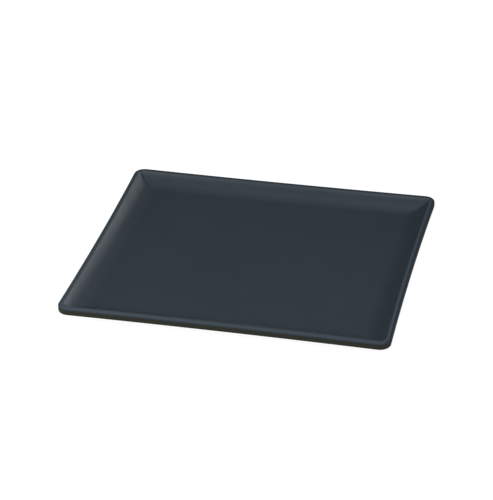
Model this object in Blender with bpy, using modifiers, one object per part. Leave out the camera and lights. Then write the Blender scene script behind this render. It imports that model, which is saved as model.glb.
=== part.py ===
"""Rectangular melamine platter, pressed in two colours, on four bonded anti-slip pads.

Units are metres and +Z is up. The origin lies on the table under the middle of the platter, and X runs
along its longer sides. Heights are counted from the table, and insets from the outline inwards.
"""

import math

import bmesh
import bpy
from mathutils import Vector

MM = 0.001

# Outline in plan, over the corners
LENGTH = 354.0 * MM
WIDTH = 325.0 * MM
CORNER_RADIUS = 12.0 * MM
LONG_SIDE_BOW = 1.5 * MM
SHORT_SIDE_BOW = 1.8 * MM

# Rim and well
RIM_WIDTH = 5.2 * MM
LIP_RADIUS = 1.9 * MM
SHOULDER_RADIUS = 1.2 * MM
WELL_DEPTH = 11.0 * MM
COVE_RADIUS = 34.5 * MM
MITRE_RADIUS = 2.0 * MM

# The two layers and the bond between them
FACE_THICKNESS = 1.5 * MM
FACE_EDGE = 0.2 * MM
BASE_THICKNESS = 2.2 * MM
BOND_GAP = 0.3 * MM
BOND_RADIUS = 1.0 * MM

# Outer wall and underside of the rim
SKIRT_HEIGHT = 8.5 * MM
SKIRT_RADIUS = 2.0 * MM
UNDER_RADIUS = 4.0 * MM
UNDER_CORNER_RADIUS = 5.0 * MM

# Foot ring
FOOT_MARGIN = 6.0 * MM
FOOT_WIDTH = 5.0 * MM
FOOT_HEIGHT = 2.0 * MM
FOOT_EDGE_RADIUS = 0.8 * MM
FOOT_CORNER_RADIUS = 14.0 * MM

# Anti-slip pads and the collars that hold them
PAD_DIAMETER = 16.0 * MM
PAD_EDGE_RADIUS = 0.6 * MM
PAD_STANDOFF = 0.8 * MM
PAD_RECESS = 0.4 * MM
PAD_CLEARANCE = 0.3 * MM
COLLAR_WALL = 2.5 * MM
COLLAR_MARGIN = 3.0 * MM
CUT_OVERRUN = 2.0 * MM

# Steps along each curve
SIDE_STEPS = 6
CORNER_STEPS = 5
ROUND_STEPS = 4
BLEND_STEPS = 3
COVE_STEPS = 9
PAD_SIDES = 32
EDGE_STEPS = 2
SHARP_ANGLE = math.radians(30.0)

# Heights above the table, stacked up from the pads
FOOT_BOTTOM = PAD_STANDOFF
BASE_BOTTOM = FOOT_BOTTOM + FOOT_HEIGHT
BASE_FLOOR = BASE_BOTTOM + BASE_THICKNESS
FACE_UNDERSIDE = BASE_FLOOR + BOND_GAP
FLOOR = FACE_UNDERSIDE + FACE_THICKNESS
RIM_TOP = FLOOR + WELL_DEPTH
SEAM_TOP = RIM_TOP - LIP_RADIUS - FACE_EDGE
SEAM_BOTTOM = SEAM_TOP - BOND_GAP
SKIRT_BOTTOM = RIM_TOP - SKIRT_HEIGHT

# Every layer's cove turns about one line, which stands over the inset where the walls meet the floor
COVE_CENTRE = FLOOR + COVE_RADIUS
COVE_END = RIM_WIDTH + math.sqrt(COVE_RADIUS**2 - (COVE_RADIUS - WELL_DEPTH) ** 2)
FACE_UNDER_RADIUS = COVE_CENTRE - FACE_UNDERSIDE
BASE_FLOOR_RADIUS = COVE_CENTRE - BASE_FLOOR
BASE_UNDER_RADIUS = COVE_CENTRE - BASE_BOTTOM

# Foot ring and pads in plan
FOOT_OUTER = COVE_END + FOOT_MARGIN
FOOT_INNER = FOOT_OUTER + FOOT_WIDTH
SOCKET_RADIUS = PAD_DIAMETER / 2 + PAD_CLEARANCE
COLLAR_RADIUS = SOCKET_RADIUS + COLLAR_WALL
PAD_INSET = FOOT_INNER + COLLAR_MARGIN + COLLAR_RADIUS
PAD_SEAT = BASE_BOTTOM + PAD_RECESS
PAD_HEIGHT = PAD_SEAT - PAD_CLEARANCE

# Finishes, with colours in linear light
SLATE_BLUE = (0.032, 0.041, 0.053)
OLIVE_BLACK = (0.026, 0.027, 0.022)
RUBBER_BLACK = (0.012, 0.012, 0.012)
MELAMINE_ROUGHNESS = 0.45
RUBBER_ROUGHNESS = 0.7


def clear_scene():
    for old in list(bpy.data.objects):
        bpy.data.objects.remove(old, do_unlink=True)


def new_collection(name):
    collection = bpy.data.collections.new(name)
    bpy.context.scene.collection.children.link(collection)
    return collection


def new_material(name, colour, roughness):
    material = bpy.data.materials.new(name)
    material.use_nodes = True
    shader = material.node_tree.nodes["Principled BSDF"]
    shader.inputs["Base Color"].default_value = (*colour, 1.0)
    shader.inputs["Roughness"].default_value = roughness
    shader.inputs["Metallic"].default_value = 0.0
    return material


def shade(thing):
    thing.data.shade_smooth()
    thing.data.set_sharp_from_angle(angle=SHARP_ANGLE)


def outline(inset, radius):
    """Plan points of the outline drawn in by an inset: four round corners and four sides bowed inwards."""
    reach = Vector((LENGTH / 2 - inset - radius, WIDTH / 2 - inset - radius))
    signs = ((1, 1), (-1, 1), (-1, -1), (1, -1))
    corners = []
    for quarter, (sign_x, sign_y) in enumerate(signs):
        centre = Vector((sign_x * reach.x, sign_y * reach.y))
        angles = [math.pi / 2 * (quarter + step / CORNER_STEPS) for step in range(CORNER_STEPS + 1)]
        corners.append([centre + radius * Vector((math.cos(a), math.sin(a))) for a in angles])
    points = []
    for quarter, corner in enumerate(corners):
        points.extend(corner)
        start = corner[-1]
        end = corners[(quarter + 1) % 4][0]
        along = (end - start).normalized()
        inwards = Vector((-along.y, along.x))
        bow = (LONG_SIDE_BOW, SHORT_SIDE_BOW)[quarter % 2]
        for step in range(1, SIDE_STEPS):
            share = step / SIDE_STEPS
            points.append(start.lerp(end, share) + inwards * bow * 4 * share * (1 - share))
    return points


def arc(centre, radius, start, end, steps):
    """Points of an arc in a section, as (inset, height), with angles in degrees from the inset axis."""
    points = []
    for step in range(steps + 1):
        angle = math.radians(start + (end - start) * step / steps)
        points.append((centre[0] + radius * math.cos(angle), centre[1] + radius * math.sin(angle)))
    return points


def cove(level, radius, blend):
    """A section that leaves a level land, bends down over a blend and follows a cove to its lowest line."""
    drop = COVE_CENTRE - level + blend
    span = radius + blend
    slope = math.degrees(math.acos(drop / span))
    start = COVE_END - math.sqrt(span**2 - drop**2)
    bend = arc((start, level - blend), blend, 90.0, 90.0 - slope, BLEND_STEPS)
    sweep = arc((COVE_END, COVE_CENTRE), radius, 270.0 - slope, 270.0, COVE_STEPS)
    return bend + sweep[1:]


def foot_ring():
    """The foot ring's section, from its outer root down, across and back up to its inner root."""
    edge = FOOT_EDGE_RADIUS
    height = FOOT_BOTTOM + edge
    outer_edge = arc((FOOT_OUTER + edge, height), edge, 180.0, 270.0, EDGE_STEPS)
    inner_edge = arc((FOOT_INNER - edge, height), edge, 270.0, 360.0, EDGE_STEPS)
    return [(FOOT_OUTER, BASE_BOTTOM)] + outer_edge + inner_edge + [(FOOT_INNER, BASE_BOTTOM)]


def with_corners(section, first_inset, first_radius, least_radius):
    """Adds each point's corner radius: it shrinks as the inset grows, down to the least radius."""
    sections = []
    for inset, height in section:
        radius = max(first_radius - (inset - first_inset), least_radius)
        sections.append((inset, height, radius))
    return sections


def loft(name, sections, material, collection):
    """A closed body through sections of (inset, height, corner radius), with a flat face at each end."""
    body = bmesh.new()
    rings = []
    for inset, height, radius in sections:
        rings.append([body.verts.new((point.x, point.y, height)) for point in outline(inset, radius)])
    for ring, following in zip(rings, rings[1:]):
        for i in range(len(ring)):
            body.faces.new((ring[i - 1], ring[i], following[i], following[i - 1]))
    body.faces.new(rings[0])
    body.faces.new(rings[-1])
    bmesh.ops.recalc_face_normals(body, faces=body.faces)
    mesh = bpy.data.meshes.new(name)
    body.to_mesh(mesh)
    body.free()
    mesh.materials.append(material)
    thing = bpy.data.objects.new(name, mesh)
    collection.objects.link(thing)
    shade(thing)
    return thing


def cylinder(name, radius, bottom, top, place, collection):
    """An upright cylinder between two heights, over a place in plan."""
    bpy.ops.mesh.primitive_cylinder_add(
        vertices=PAD_SIDES,
        radius=radius,
        depth=top - bottom,
        location=(place.x, place.y, (bottom + top) / 2),
    )
    thing = bpy.context.object
    thing.name = name
    for old in list(thing.users_collection):
        old.objects.unlink(thing)
    collection.objects.link(thing)
    return thing


def round_edges(thing, radius):
    bevel = thing.modifiers.new("edge", "BEVEL")
    bevel.width = radius
    bevel.segments = EDGE_STEPS
    bevel.limit_method = "ANGLE"
    bevel.angle_limit = SHARP_ANGLE


def add_boolean(thing, tool, operation):
    tool.hide_render = True
    tool.display_type = "WIRE"
    boolean = thing.modifiers.new(tool.name, "BOOLEAN")
    boolean.operation = operation
    boolean.solver = "EXACT"
    boolean.object = tool


def pad_places():
    """Each pad's name and place in plan."""
    for y_name, y_sign in (("front", -1), ("rear", 1)):
        for x_name, x_sign in (("left", -1), ("right", 1)):
            x = x_sign * (LENGTH / 2 - PAD_INSET)
            y = y_sign * (WIDTH / 2 - PAD_INSET)
            yield f"{y_name}_{x_name}", Vector((x, y))


def make_face_layer(collection):
    """The slate-blue upper charge: its bond side out to the seam, then lip, rim, cove and floor."""
    bond_side = cove(SEAM_TOP, FACE_UNDER_RADIUS, BOND_RADIUS + BOND_GAP)[::-1]
    seam = [(0.0, SEAM_TOP)]
    lip = arc((LIP_RADIUS, RIM_TOP - LIP_RADIUS), LIP_RADIUS, 180.0, 90.0, ROUND_STEPS)
    well = cove(RIM_TOP, COVE_RADIUS, SHOULDER_RADIUS)
    sections = with_corners(bond_side + seam + lip + well, 0.0, CORNER_RADIUS, MITRE_RADIUS)
    slate = new_material("slate_blue_melamine", SLATE_BLUE, MELAMINE_ROUGHNESS)
    return loft("face_layer", sections, slate, collection)


def make_base_shell(collection, tools):
    """The olive-black lower charge: underside with its foot ring, outer wall and the face layer's bed."""
    underside = cove(SKIRT_BOTTOM, BASE_UNDER_RADIUS, UNDER_RADIUS)[::-1]
    skirt = arc((SKIRT_RADIUS, SKIRT_BOTTOM + SKIRT_RADIUS), SKIRT_RADIUS, 270.0, 180.0, ROUND_STEPS)
    seam = [(0.0, SEAM_BOTTOM)]
    bed = cove(SEAM_BOTTOM, BASE_FLOOR_RADIUS, BOND_RADIUS)
    sections = with_corners(foot_ring()[::-1], FOOT_OUTER, FOOT_CORNER_RADIUS, MITRE_RADIUS)
    sections += with_corners(underside, 0.0, CORNER_RADIUS, UNDER_CORNER_RADIUS)
    sections += with_corners(skirt + seam + bed, 0.0, CORNER_RADIUS, MITRE_RADIUS)
    olive = new_material("olive_black_melamine", OLIVE_BLACK, MELAMINE_ROUGHNESS)
    shell = loft("base_shell", sections, olive, collection)
    collar_top = BASE_BOTTOM + BASE_THICKNESS / 2
    socket_bottom = FOOT_BOTTOM - CUT_OVERRUN
    for name, place in pad_places():
        collar = cylinder(f"collar_{name}", COLLAR_RADIUS, FOOT_BOTTOM, collar_top, place, tools)
        round_edges(collar, FOOT_EDGE_RADIUS)
        add_boolean(shell, collar, "UNION")
        socket = cylinder(f"socket_{name}", SOCKET_RADIUS, socket_bottom, PAD_SEAT, place, tools)
        add_boolean(shell, socket, "DIFFERENCE")
    return shell


def make_pads(collection):
    """Four rubber discs with softened edges, a clearance inside their collars and under their seats."""
    rubber = new_material("black_rubber", RUBBER_BLACK, RUBBER_ROUGHNESS)
    pads = []
    for name, place in pad_places():
        pad = cylinder(f"foot_pad_{name}", PAD_DIAMETER / 2, 0.0, PAD_HEIGHT, place, collection)
        pad.data.materials.append(rubber)
        round_edges(pad, PAD_EDGE_RADIUS)
        shade(pad)
        pads.append(pad)
    return pads


def main():
    clear_scene()
    platter = new_collection("melamine_platter")
    tools = new_collection("platter_cutters")
    root = bpy.data.objects.new("platter_origin", None)
    platter.objects.link(root)
    parts = [make_face_layer(platter), make_base_shell(platter, tools)] + make_pads(platter)
    for part in parts:
        part.parent = root


main()
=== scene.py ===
"""Looks of the rectangular melamine platter: fine meshes, finishes, studio light and the photograph's view.

Units are metres and +Z is up, as in the frame. Heights are counted from the table, and insets from the
platter's outline inwards.
"""

import math
from typing import NamedTuple

import bmesh
import bpy
from mathutils import Matrix, Vector


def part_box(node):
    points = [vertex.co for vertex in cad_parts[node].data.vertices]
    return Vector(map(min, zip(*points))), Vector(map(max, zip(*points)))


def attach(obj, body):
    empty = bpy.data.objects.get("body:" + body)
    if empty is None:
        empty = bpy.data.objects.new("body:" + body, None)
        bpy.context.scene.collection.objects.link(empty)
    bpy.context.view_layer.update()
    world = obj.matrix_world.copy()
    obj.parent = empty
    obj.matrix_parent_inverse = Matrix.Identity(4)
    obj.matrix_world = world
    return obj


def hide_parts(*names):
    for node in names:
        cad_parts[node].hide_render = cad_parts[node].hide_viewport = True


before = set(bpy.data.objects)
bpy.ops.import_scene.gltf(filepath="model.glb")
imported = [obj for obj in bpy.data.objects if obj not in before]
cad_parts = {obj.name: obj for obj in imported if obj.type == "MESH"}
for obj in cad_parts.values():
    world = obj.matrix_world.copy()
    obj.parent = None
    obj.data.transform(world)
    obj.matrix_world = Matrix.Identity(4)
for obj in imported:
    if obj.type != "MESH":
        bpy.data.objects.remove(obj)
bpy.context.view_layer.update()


class PaintedLightAndWear(NamedTuple):
    """Paler band along one side of the rim: some wear, and painted light that is stronger on the sides
    where more light falls.

    It has a strength and four insets: where it sets in, is full, fades and is gone.
    """

    strength: float
    sets_in: float
    full: float
    fades: float
    gone: float


class Pigment(NamedTuple):
    """A melamine's colours: the two that its mottle runs between, and the paler one that rim wear and
    painted light leave.
    """

    light: tuple
    dark: tuple
    lit_and_worn: tuple


MM = 0.001

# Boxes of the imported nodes
FACE_LOW, FACE_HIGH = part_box("face_layer")
BASE_LOW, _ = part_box("base_shell")
PAD_NODES = sorted(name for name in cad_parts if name.startswith("foot_pad_"))

# Outline in plan
HALF_LENGTH = FACE_HIGH.x
HALF_WIDTH = FACE_HIGH.y
CORNER_RADIUS = 12.0 * MM
LONG_SIDE_BOW = 1.5 * MM
SHORT_SIDE_BOW = 1.8 * MM

# Rim, well and layers
RIM_WIDTH = 5.2 * MM
LIP_RADIUS = 1.9 * MM
SHOULDER_RADIUS = 1.2 * MM
COVE_RADIUS = 34.5 * MM
MITRE_RADIUS = 2.0 * MM
FACE_THICKNESS = 1.5 * MM
FACE_EDGE = 0.2 * MM
BASE_THICKNESS = 2.2 * MM
BOND_RADIUS = 1.0 * MM
SKIRT_HEIGHT = 8.5 * MM
SKIRT_RADIUS = 2.0 * MM
UNDER_RADIUS = 4.0 * MM
UNDER_CORNER_RADIUS = 5.0 * MM
SEAM_LINE = 0.05 * MM
SEAM_BREAK = 0.12 * MM

# Foot ring and collars
FOOT_MARGIN = 6.0 * MM
FOOT_WIDTH = 5.0 * MM
FOOT_HEIGHT = 2.0 * MM
FOOT_EDGE_RADIUS = 0.8 * MM
FOOT_ROOT_RADIUS = 0.5 * MM
FOOT_CORNER_RADIUS = 14.0 * MM
COLLAR_WALL = 2.5 * MM
COLLAR_EDGE_RADIUS = 0.7 * MM
PAD_CLEARANCE = 0.3 * MM
PAD_RECESS = 0.4 * MM
CUT_OVERRUN = 2.0 * MM

# Anti-slip pads
PAD_EDGE_RADIUS = 0.6 * MM
PAD_DIMPLE_RADIUS = 2.4 * MM
PAD_DIMPLE_DEPTH = 0.3 * MM
PAD_GROOVE_RADIUS = 5.0 * MM
PAD_GROOVE_WIDTH = 0.8 * MM

# Heights above the table
RIM_TOP = FACE_HIGH.z
FACE_UNDERSIDE = FACE_LOW.z
WELL_FLOOR = FACE_UNDERSIDE + FACE_THICKNESS
WELL_DEPTH = RIM_TOP - WELL_FLOOR
SEAM = RIM_TOP - LIP_RADIUS - FACE_EDGE
BASE_FLOOR = FACE_UNDERSIDE - SEAM_LINE
FOOT_BOTTOM = BASE_LOW.z
BASE_BOTTOM = FOOT_BOTTOM + FOOT_HEIGHT
SKIRT_BOTTOM = RIM_TOP - SKIRT_HEIGHT

# Every cove turns about one line, which stands over the inset where the walls meet the floor
COVE_CENTRE = WELL_FLOOR + COVE_RADIUS
COVE_END = RIM_WIDTH + math.sqrt(COVE_RADIUS**2 - (COVE_RADIUS - WELL_DEPTH) ** 2)
FOOT_OUTER = COVE_END + FOOT_MARGIN
FOOT_INNER = FOOT_OUTER + FOOT_WIDTH

# Steps along each curve, and the angle from which an edge is drawn sharp
SIDE_STEPS = 24
CORNER_STEPS = 12
ROUND_STEPS = 10
BLEND_STEPS = 6
COVE_STEPS = 22
EDGE_STEPS = 5
TURN_STEPS = 72
SHARP_ANGLE = math.radians(35.0)

# The photograph's camera: where it aims, on the plane of the rim, and how it stands to it
IMAGE_HEIGHT_PX = 500.0
SENSOR_MM = 36.0
FOCAL_PX = 2134.65
AIM = Vector((-7.84 * MM, -2.41 * MM, RIM_TOP))
CAMERA_DISTANCE = 2.33535
CAMERA_PITCH = math.radians(29.608)
CAMERA_YAW = math.radians(-13.044)
CAMERA_ROLL = math.radians(0.618)

# Paler band along the rim: some wear and painted light, strongest on the sides that the light falls on
FRONT_PAINTED_LIGHT_AND_WEAR = PaintedLightAndWear(strength=0.88, sets_in=-0.6 * MM, full=1.4 * MM, fades=4.2 * MM, gone=6.0 * MM)
REAR_PAINTED_LIGHT_AND_WEAR = PaintedLightAndWear(strength=0.08, sets_in=5.4 * MM, full=6.6 * MM, fades=7.2 * MM, gone=8.2 * MM)
LEFT_PAINTED_LIGHT_AND_WEAR = PaintedLightAndWear(strength=0.5, sets_in=1.5 * MM, full=3.2 * MM, fades=4.2 * MM, gone=6.0 * MM)
RIGHT_PAINTED_LIGHT_AND_WEAR = PaintedLightAndWear(strength=1.0, sets_in=1.5 * MM, full=3.2 * MM, fades=4.2 * MM, gone=6.0 * MM)

# Place of the ground rim's finish among the face layer's materials
RIM_FINISH = 1

# Colours of the pieces
SLATE = Pigment(
    light=(0.0217, 0.0308, 0.0426),
    dark=(0.0203, 0.0288, 0.0399),
    # Paler rim colour: wear and painted light
    lit_and_worn=(0.0490, 0.0610, 0.0765),
)
OLIVE = Pigment(
    light=(0.0246, 0.0250, 0.0194),
    dark=(0.0223, 0.0227, 0.0175),
    lit_and_worn=(0.0246, 0.0250, 0.0194),
)
RUBBER_BLACK = (0.010, 0.010, 0.010)
RUBBER_DUST = (0.030, 0.029, 0.028)

# Melamine: how bright and how dense its flecks are, how deep its relief is, and how it bends light
FLECK_GAIN = 1.5
FLECK_SHARE = 0.12
GRAIN_DEPTH = 0.01 * MM
WAVE_DEPTH = 0.02 * MM
MELAMINE_IOR = 1.5

# Rubber's relief
RUBBER_GRAIN_DEPTH = 0.05 * MM

# Studio: the floor's grey as light falls on it and as it is seen, its glow, and the world's glow
FLOOR_SIZE = 14.0
FLOOR_GREY = 0.5
FLOOR_SEEN_GREY = 0.08
FLOOR_GLOW = 0.95
STUDIO_GLOW = 0.02

# Colours of the lamps
WHITE = (1.0, 1.0, 1.0)
COOL_WHITE = (0.93, 0.96, 1.0)
WARM_WHITE = (1.0, 0.98, 0.84)
ROSE_WHITE = (1.0, 0.98, 0.99)
CYAN_WHITE = (0.9, 1.0, 1.0)
ICE_WHITE = (0.95, 1.0, 1.0)
IVORY_WHITE = (1.0, 1.0, 0.95)


def arc(centre, radius, start, end, steps):
    """Points of an arc in a section, as (inset, height), with angles in degrees from the inset axis."""
    points = []
    for step in range(steps + 1):
        angle = math.radians(start + (end - start) * step / steps)
        points.append((centre[0] + radius * math.cos(angle), centre[1] + radius * math.sin(angle)))
    return points


def cove(level, radius, blend):
    """A section that leaves a level land, bends down over a blend and follows a cove to its lowest line."""
    drop = COVE_CENTRE - level + blend
    span = radius + blend
    slope = math.degrees(math.acos(drop / span))
    start = COVE_END - math.sqrt(span**2 - drop**2)
    bend = arc((start, level - blend), blend, 90.0, 90.0 - slope, BLEND_STEPS)
    sweep = arc((COVE_END, COVE_CENTRE), radius, 270.0 - slope, 270.0, COVE_STEPS)
    return bend + sweep[1:]


def outline(inset, radius):
    """Plan points of the outline drawn in by an inset: four round corners and four sides bowed inwards.

    A side's bow is a parabola, which is deepest at mid-side.
    """
    reach = Vector((HALF_LENGTH - inset - radius, HALF_WIDTH - inset - radius))
    signs = ((1, 1), (-1, 1), (-1, -1), (1, -1))
    corners = []
    for quarter, (sign_x, sign_y) in enumerate(signs):
        centre = Vector((sign_x * reach.x, sign_y * reach.y))
        angles = [math.pi / 2 * (quarter + step / CORNER_STEPS) for step in range(CORNER_STEPS + 1)]
        corners.append([centre + radius * Vector((math.cos(a), math.sin(a))) for a in angles])
    points = []
    for quarter, corner in enumerate(corners):
        points.extend(corner)
        start = corner[-1]
        end = corners[(quarter + 1) % len(corners)][0]
        along = (end - start).normalized()
        inwards = Vector((-along.y, along.x))
        bow = (LONG_SIDE_BOW, SHORT_SIDE_BOW)[quarter % 2]
        for step in range(1, SIDE_STEPS):
            share = step / SIDE_STEPS
            points.append(start.lerp(end, share) + inwards * bow * 4 * share * (1 - share))
    return points


def with_corners(section, first_inset, first_radius, least_radius):
    """Adds each point's corner radius: it shrinks as the inset grows, down to the least radius."""
    sections = []
    for inset, height in section:
        radius = max(first_radius - (inset - first_inset), least_radius)
        sections.append((inset, height, radius))
    return sections


def mesh_object(name, rings):
    """A closed mesh object through rings of points, with a flat face at each end."""
    body = bmesh.new()
    loops = [[body.verts.new(point) for point in ring] for ring in rings]
    for loop, following in zip(loops, loops[1:]):
        for i in range(len(loop)):
            body.faces.new((loop[i - 1], loop[i], following[i], following[i - 1]))
    body.faces.new(loops[0])
    body.faces.new(loops[-1])
    bmesh.ops.recalc_face_normals(body, faces=body.faces)
    mesh = bpy.data.meshes.new(name)
    body.to_mesh(mesh)
    body.free()
    piece = bpy.data.objects.new(name, mesh)
    bpy.context.scene.collection.objects.link(piece)
    return piece


def loft(name, sections):
    """A closed body through sections of (inset, height, corner radius)."""
    rings = []
    for inset, height, radius in sections:
        rings.append([(point.x, point.y, height) for point in outline(inset, radius)])
    return mesh_object(name, rings)


def turned(name, profile, place):
    """A closed turned body from a profile of (radius, height), about an upright line over a place."""
    rings = []
    for radius, height in profile:
        ring = []
        for step in range(TURN_STEPS):
            angle = 2 * math.pi * step / TURN_STEPS
            ring.append((place.x + radius * math.cos(angle), place.y + radius * math.sin(angle), height))
        rings.append(ring)
    return mesh_object(name, rings)


def shade(piece):
    """Shades a piece smooth, apart from its sharp edges."""
    piece.data.shade_smooth()
    piece.data.set_sharp_from_angle(angle=SHARP_ANGLE)


def boolean(piece, tool, operation):
    """Joins a tool to a piece or cuts it out, applies the result and removes the tool."""
    modifier = piece.modifiers.new(tool.name, "BOOLEAN")
    modifier.operation = operation
    modifier.solver = "EXACT"
    modifier.object = tool
    depsgraph = bpy.context.evaluated_depsgraph_get()
    mesh = bpy.data.meshes.new_from_object(piece.evaluated_get(depsgraph))
    piece.modifiers.clear()
    old = piece.data
    piece.data = mesh
    bpy.data.meshes.remove(old)
    bpy.data.objects.remove(tool, do_unlink=True)


def ramp(value, start, end):
    """How far a value lies from a start to an end, as a share held between 0 and 1."""
    return min(max((value - start) / (end - start), 0.0), 1.0)


def painted_light_and_wear(inset, point):
    """How much paler the rim is at an inset and a point in plan, from wear and painted light, as a share;
    the sides blend at the corners.
    """
    to_short_side = HALF_LENGTH - abs(point.x)
    to_long_side = HALF_WIDTH - abs(point.y)
    long_share = to_short_side / (to_short_side + to_long_side)
    long_side = FRONT_PAINTED_LIGHT_AND_WEAR if point.y < 0 else REAR_PAINTED_LIGHT_AND_WEAR
    short_side = LEFT_PAINTED_LIGHT_AND_WEAR if point.x < 0 else RIGHT_PAINTED_LIGHT_AND_WEAR
    here = PaintedLightAndWear(*(short + (long - short) * long_share for short, long in zip(short_side, long_side)))
    risen = ramp(inset, here.sets_in, here.full)
    fallen = ramp(inset, here.fades, here.gone)
    return here.strength * min(risen, 1.0 - fallen)


def mark_points(piece, attribute, values):
    """Stores a value for each point of a piece, for its finish to read."""
    piece.data.attributes.new(attribute, "FLOAT", "POINT").data.foreach_set("value", values)


def paint_rings(piece, rings, first, last, index):
    """Gives the bands between two rings of a lofted piece the material of an index."""
    ring_size = len(piece.data.vertices) // rings
    for band in piece.data.polygons[first * ring_size : last * ring_size]:
        band.material_index = index


def make_face():
    """The slate-blue upper layer: bond side, seam edge, lip, rim, cove and floor.

    The crest is two rings on the level rim, where the painted light and wear of its right side is full and
    where it fades.
    """
    bond_side = cove(SEAM, COVE_CENTRE - FACE_UNDERSIDE, BOND_RADIUS + SEAM_LINE)[::-1]
    seam_edge = arc((SEAM_BREAK, SEAM + SEAM_BREAK), SEAM_BREAK, 270.0, 180.0, EDGE_STEPS)
    lip = arc((LIP_RADIUS, RIM_TOP - LIP_RADIUS), LIP_RADIUS, 180.0, 90.0, ROUND_STEPS)
    crest = [(RIGHT_PAINTED_LIGHT_AND_WEAR.full, RIM_TOP), (RIGHT_PAINTED_LIGHT_AND_WEAR.fades, RIM_TOP)]
    well = cove(RIM_TOP, COVE_RADIUS, SHOULDER_RADIUS)
    section = bond_side + seam_edge + lip + crest + well
    sections = with_corners(section, 0.0, CORNER_RADIUS, MITRE_RADIUS)
    face = loft("slate_face", sections)
    lit_and_worn = []
    for ring, (inset, _, radius) in enumerate(sections):
        shown = ring >= len(bond_side)
        # Paler rim: wear and painted light, which is strongest on the lit front and right sides
        lit_and_worn.extend(painted_light_and_wear(inset, point) if shown else 0.0 for point in outline(inset, radius))
    mark_points(face, "lit_and_worn", lit_and_worn)
    paint_rings(face, len(section), len(bond_side), len(section) - len(well), RIM_FINISH)
    shade(face)
    return face


def foot_section():
    """The foot ring's section, from its outer root down, across and back up to its inner root."""
    edge = FOOT_EDGE_RADIUS
    root = FOOT_ROOT_RADIUS
    bottom = FOOT_BOTTOM + edge
    top = BASE_BOTTOM - root
    outer_root = arc((FOOT_OUTER - root, top), root, 90.0, 0.0, EDGE_STEPS)
    outer_edge = arc((FOOT_OUTER + edge, bottom), edge, 180.0, 270.0, EDGE_STEPS)
    inner_edge = arc((FOOT_INNER - edge, bottom), edge, 270.0, 360.0, EDGE_STEPS)
    inner_root = arc((FOOT_INNER + root, top), root, 180.0, 90.0, EDGE_STEPS)
    return outer_root + outer_edge + inner_edge + inner_root


def make_base(pads):
    """The olive-black lower layer: foot ring, underside, outer wall, seam edge and the face layer's bed."""
    foot = with_corners(foot_section()[::-1], FOOT_OUTER, FOOT_CORNER_RADIUS, MITRE_RADIUS)
    underside = cove(SKIRT_BOTTOM, COVE_CENTRE - BASE_BOTTOM, UNDER_RADIUS)[::-1]
    skirt = arc((SKIRT_RADIUS, SKIRT_BOTTOM + SKIRT_RADIUS), SKIRT_RADIUS, 270.0, 180.0, ROUND_STEPS)
    seam = SEAM - SEAM_LINE
    seam_edge = arc((SEAM_BREAK, seam - SEAM_BREAK), SEAM_BREAK, 180.0, 90.0, EDGE_STEPS)
    bed = cove(seam, COVE_CENTRE - BASE_FLOOR, BOND_RADIUS)
    sections = foot + with_corners(underside, 0.0, CORNER_RADIUS, UNDER_CORNER_RADIUS)
    sections += with_corners(skirt + seam_edge + bed, 0.0, CORNER_RADIUS, MITRE_RADIUS)
    base = loft("olive_base", sections)
    for low, high in pads:
        add_collar(base, (low + high) / 2, (high.x - low.x) / 2 + PAD_CLEARANCE)
    shade(base)
    return base


def add_collar(base, place, socket_radius):
    """Raises a round collar on the underside and sinks a pad's socket into it, both with softened edges."""
    edge = COLLAR_EDGE_RADIUS
    outer = socket_radius + COLLAR_WALL
    bottom = FOOT_BOTTOM + edge
    rim = arc((outer - edge, bottom), edge, 0.0, -90.0, EDGE_STEPS)
    collar = turned("collar", [(outer, BASE_BOTTOM + BASE_THICKNESS / 2)] + rim, place)
    boolean(base, collar, "UNION")
    mouth = arc((socket_radius + edge, bottom), edge, 180.0, 270.0, EDGE_STEPS)
    below = [(socket_radius + edge, FOOT_BOTTOM - CUT_OVERRUN)]
    socket = turned("socket", [(socket_radius, BASE_BOTTOM + PAD_RECESS)] + mouth + below, place)
    boolean(base, socket, "DIFFERENCE")


def make_pad(node):
    """An anti-slip pad: a dimple and a round groove in its lower face, and softened edges."""
    low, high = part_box(node)
    radius = (high.x - low.x) / 2
    edge = PAD_EDGE_RADIUS
    dimple = []
    for step in range(1, EDGE_STEPS + 1):
        share = step / EDGE_STEPS
        dimple.append((PAD_DIMPLE_RADIUS * share, low.z + PAD_DIMPLE_DEPTH * (1 - share**2)))
    groove = arc((PAD_GROOVE_RADIUS, low.z), PAD_GROOVE_WIDTH / 2, 180.0, 0.0, 2 * EDGE_STEPS)
    lower_edge = arc((radius - edge, low.z + edge), edge, 270.0, 360.0, EDGE_STEPS)
    upper_edge = arc((radius - edge, high.z - edge), edge, 0.0, 90.0, EDGE_STEPS)
    name = node.replace("foot_pad", "rubber_pad")
    pad = turned(name, dimple + groove + lower_edge + upper_edge, (low + high) / 2)
    shade(pad)
    return pad


def make_camera():
    """The photograph's camera, aimed at a point on the plane of the rim.

    Its sensor spans the picture's longer side, which is the height.
    """
    forward = Vector(
        (
            math.sin(CAMERA_YAW) * math.cos(CAMERA_PITCH),
            math.cos(CAMERA_YAW) * math.cos(CAMERA_PITCH),
            -math.sin(CAMERA_PITCH),
        )
    )
    level = Vector((math.cos(CAMERA_YAW), -math.sin(CAMERA_YAW), 0.0))
    down = forward.cross(level)
    right = math.cos(CAMERA_ROLL) * level + math.sin(CAMERA_ROLL) * down
    up = forward.cross(right) * -1
    data = bpy.data.cameras.new("photo_camera")
    data.sensor_width = SENSOR_MM
    data.lens = FOCAL_PX / IMAGE_HEIGHT_PX * SENSOR_MM
    camera = bpy.data.objects.new("photo_camera", data)
    turn = Matrix((right, up, -forward)).transposed()
    camera.matrix_world = Matrix.Translation(AIM - forward * CAMERA_DISTANCE) @ turn.to_4x4()
    bpy.context.scene.collection.objects.link(camera)
    bpy.context.scene.camera = camera


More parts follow.
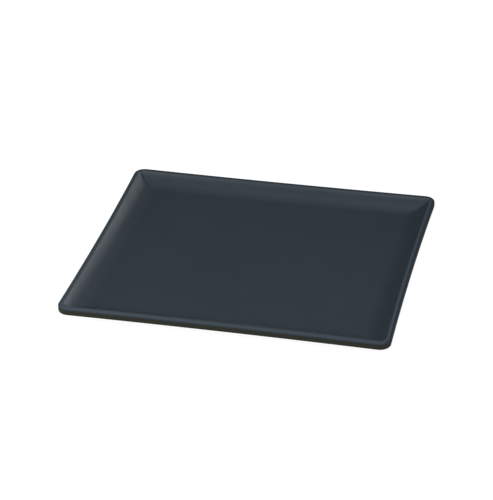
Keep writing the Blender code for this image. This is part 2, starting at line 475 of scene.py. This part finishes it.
class Nodes:
    """Adds shader nodes to one material or world, and links them."""

    def __init__(self, owner):
        owner.use_nodes = True
        self.tree = owner.node_tree

    def find(self, name):
        """A node that the tree starts with."""
        return self.tree.nodes[name]

    def add(self, kind, **values):
        """A new node of a kind, with its settings."""
        node = self.tree.nodes.new(kind)
        for name, value in values.items():
            setattr(node, name, value)
        return node

    def link(self, output, target):
        """Feeds an output into an input."""
        self.tree.links.new(output, target)

    def noise(self, place, scale, detail, roughness):
        """Noise over object coordinates, with the scale in features per metre."""
        node = self.add("ShaderNodeTexNoise")
        node.inputs["Scale"].default_value = scale
        node.inputs["Detail"].default_value = detail
        node.inputs["Roughness"].default_value = roughness
        self.link(place, node.inputs["Vector"])
        return node.outputs["Fac"]

    def ranged(self, value, span, target=(0.0, 1.0)):
        """A value mapped from one range to another, held at its ends."""
        node = self.add("ShaderNodeMapRange")
        node.inputs["From Min"].default_value = span[0]
        node.inputs["From Max"].default_value = span[1]
        node.inputs["To Min"].default_value = target[0]
        node.inputs["To Max"].default_value = target[1]
        self.link(value, node.inputs["Value"])
        return node.outputs["Result"]

    def greater(self, first, second):
        """The greater of two values."""
        node = self.add("ShaderNodeMath", operation="MAXIMUM")
        self.link(first, node.inputs[0])
        self.link(second, node.inputs[1])
        return node.outputs["Value"]

    def mixed(self, factor, first, second):
        """A mix of two colours, each a plain colour or a socket."""
        node = self.add("ShaderNodeMix", data_type="RGBA")
        self.link(factor, node.inputs["Factor"])
        for value, socket in ((first, node.inputs["A"]), (second, node.inputs["B"])):
            if isinstance(value, tuple):
                socket.default_value = (*value, 1.0)
            else:
                self.link(value, socket)
        return node.outputs["Result"]

    def bump(self, height, strength, distance, normal=None):
        """A normal that follows a height, on top of another normal where one is given."""
        node = self.add("ShaderNodeBump")
        node.inputs["Strength"].default_value = strength
        node.inputs["Distance"].default_value = distance
        self.link(height, node.inputs["Height"])
        if normal is not None:
            self.link(normal, node.inputs["Normal"])
        return node.outputs["Normal"]

    def diffuse(self, grey):
        """A matte grey surface."""
        node = self.add("ShaderNodeBsdfDiffuse")
        node.inputs["Color"].default_value = (grey, grey, grey, 1.0)
        return node.outputs["BSDF"]


def melamine(name, pigment, roughness, specular, grain):
    """Pressed melamine: mottled pigment, fine mould grain and a sheen that varies a little from use.

    Where a mesh marks its points as worn and lit, the pigment turns to its paler colour: wear and painted
    light.
    """
    material = bpy.data.materials.new(name)
    nodes = Nodes(material)
    shader = nodes.find("Principled BSDF")
    place = nodes.add("ShaderNodeTexCoord").outputs["Object"]
    mottle = nodes.ranged(nodes.noise(place, scale=55.0, detail=5.0, roughness=0.6), span=(0.35, 0.65))
    clouds = nodes.mixed(mottle, pigment.dark, pigment.light)
    specks = nodes.noise(place, scale=1100.0, detail=2.0, roughness=0.5)
    flecks = nodes.ranged(specks, span=(0.42, 0.62), target=(0.0, FLECK_SHARE))
    colour = nodes.mixed(flecks, clouds, tuple(FLECK_GAIN * part for part in pigment.light))
    # Paler rim colour from wear and painted light
    lit_and_worn_share = nodes.add("ShaderNodeAttribute", attribute_name="lit_and_worn").outputs["Fac"]
    nodes.link(nodes.mixed(lit_and_worn_share, colour, pigment.lit_and_worn), shader.inputs["Base Color"])
    wipes = nodes.noise(place, scale=24.0, detail=6.0, roughness=0.65)
    nodes.link(nodes.ranged(wipes, span=(0.3, 0.7), target=roughness), shader.inputs["Roughness"])
    shader.inputs["IOR"].default_value = MELAMINE_IOR
    shader.inputs["Specular IOR Level"].default_value = specular
    fine = nodes.noise(place, scale=2600.0, detail=3.0, roughness=0.5)
    waves = nodes.noise(place, scale=90.0, detail=2.0, roughness=0.5)
    normal = nodes.bump(fine, grain, GRAIN_DEPTH)
    nodes.link(nodes.bump(waves, grain, WAVE_DEPTH, normal), shader.inputs["Normal"])
    return material


def rubber(name):
    """Matte black rubber with a fine grain and a trace of dust."""
    material = bpy.data.materials.new(name)
    nodes = Nodes(material)
    shader = nodes.find("Principled BSDF")
    place = nodes.add("ShaderNodeTexCoord").outputs["Object"]
    dust = nodes.ranged(nodes.noise(place, scale=420.0, detail=5.0, roughness=0.6), span=(0.45, 0.75))
    nodes.link(nodes.mixed(dust, RUBBER_BLACK, RUBBER_DUST), shader.inputs["Base Color"])
    nodes.link(nodes.ranged(dust, span=(0.0, 1.0), target=(0.6, 0.85)), shader.inputs["Roughness"])
    grain = nodes.noise(place, scale=2200.0, detail=3.0, roughness=0.6)
    nodes.link(nodes.bump(grain, strength=0.5, distance=RUBBER_GRAIN_DEPTH), shader.inputs["Normal"])
    return material


def floor_material():
    """A pale floor that shows as white, also in reflections, and keeps a soft shadow."""
    material = bpy.data.materials.new("pale_floor")
    nodes = Nodes(material)
    nodes.tree.nodes.remove(nodes.find("Principled BSDF"))
    path = nodes.add("ShaderNodeLightPath")
    seen = nodes.greater(path.outputs["Is Camera Ray"], path.outputs["Is Glossy Ray"])
    shown = nodes.greater(seen, path.outputs["Is Transmission Ray"])
    glow = nodes.add("ShaderNodeEmission")
    glow.inputs["Strength"].default_value = FLOOR_GLOW
    white = nodes.add("ShaderNodeAddShader")
    nodes.link(nodes.diffuse(FLOOR_SEEN_GREY), white.inputs[0])
    nodes.link(glow.outputs["Emission"], white.inputs[1])
    mix = nodes.add("ShaderNodeMixShader")
    nodes.link(shown, mix.inputs["Fac"])
    nodes.link(nodes.diffuse(FLOOR_GREY), mix.inputs[1])
    nodes.link(white.outputs["Shader"], mix.inputs[2])
    nodes.link(mix.outputs["Shader"], nodes.find("Material Output").inputs["Surface"])
    return material


def make_floor():
    """The pale floor that the platter stands on."""
    bpy.ops.mesh.primitive_plane_add(size=FLOOR_SIZE)
    floor = bpy.context.object
    floor.name = "floor"
    floor.data.materials.append(floor_material())


def softbox(name, azimuth, elevation, distance, size, watts, colour):
    """A square lamp that faces the platter, with its azimuth from +X and its elevation in degrees."""
    around = math.radians(azimuth)
    above = math.radians(elevation)
    towards = Vector(
        (math.cos(above) * math.cos(around), math.cos(above) * math.sin(around), math.sin(above))
    )
    data = bpy.data.lights.new(name, "AREA")
    data.size = size
    data.energy = watts
    data.color = colour
    lamp = bpy.data.objects.new(name, data)
    lamp.visible_camera = False
    lamp.location = towards * distance
    lamp.rotation_euler = towards.to_track_quat("Z", "Y").to_euler()
    bpy.context.scene.collection.objects.link(lamp)


def make_lamps():
    """A key light in front, weaker lights around and above, and low cards behind that the sheen mirrors."""
    softbox("key_softbox", azimuth=290, elevation=38, distance=2.8, size=1.6, watts=74.5, colour=COOL_WHITE)
    softbox("left_softbox", azimuth=205, elevation=28, distance=0.9, size=0.7, watts=7.5, colour=WARM_WHITE)
    softbox("right_softbox", azimuth=0, elevation=25, distance=2.8, size=2.0, watts=25.5, colour=ROSE_WHITE)
    softbox("top_softbox", azimuth=90, elevation=75, distance=2.4, size=1.2, watts=2.6, colour=CYAN_WHITE)
    softbox("back_softbox", azimuth=90, elevation=50, distance=2.8, size=1.6, watts=1.9, colour=WHITE)
    softbox("upper_card", azimuth=58, elevation=20, distance=2.4, size=0.6, watts=2.45, colour=ICE_WHITE)
    softbox("middle_card", azimuth=74, elevation=20, distance=2.4, size=0.6, watts=1.65, colour=IVORY_WHITE)
    softbox("lower_card", azimuth=58, elevation=8, distance=2.4, size=0.5, watts=3.4, colour=WHITE)
    softbox("horizon_card", azimuth=101, elevation=5.5, distance=2.4, size=0.36, watts=0.14, colour=WHITE)


def make_world():
    """A dark studio with a faint even glow."""
    world = bpy.data.worlds.new("studio")
    bpy.context.scene.world = world
    background = Nodes(world).find("Background")
    background.inputs["Color"].default_value = (*WHITE, 1.0)
    background.inputs["Strength"].default_value = STUDIO_GLOW


def dress(piece, finishes, slot, *nodes):
    """Gives a piece its finishes and lets it stand for its CAD nodes."""
    for finish in finishes:
        piece.data.materials.append(finish)
    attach(piece, "root")
    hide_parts(*nodes)


def main():
    """Makes the camera, the finishes, the dressed pieces, the floor and the light."""
    make_camera()
    slate = melamine("slate_melamine", SLATE, roughness=(0.32, 0.40), specular=0.5, grain=0.15)
    rim = melamine("slate_ground_rim", SLATE, roughness=(0.80, 0.90), specular=0.03, grain=0.25)
    olive = melamine("olive_melamine", OLIVE, roughness=(0.66, 0.74), specular=0.05, grain=0.25)
    black = rubber("pad_rubber")
    dress(make_face(), [slate, rim], "slate_melamine", "face_layer")
    dress(make_base([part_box(name) for name in PAD_NODES]), [olive], "olive_melamine", "base_shell")
    for name in PAD_NODES:
        dress(make_pad(name), [black], "pad_rubber", name)
    make_floor()
    make_lamps()
    make_world()
    bpy.context.scene.view_settings.view_transform = "Standard"


main()
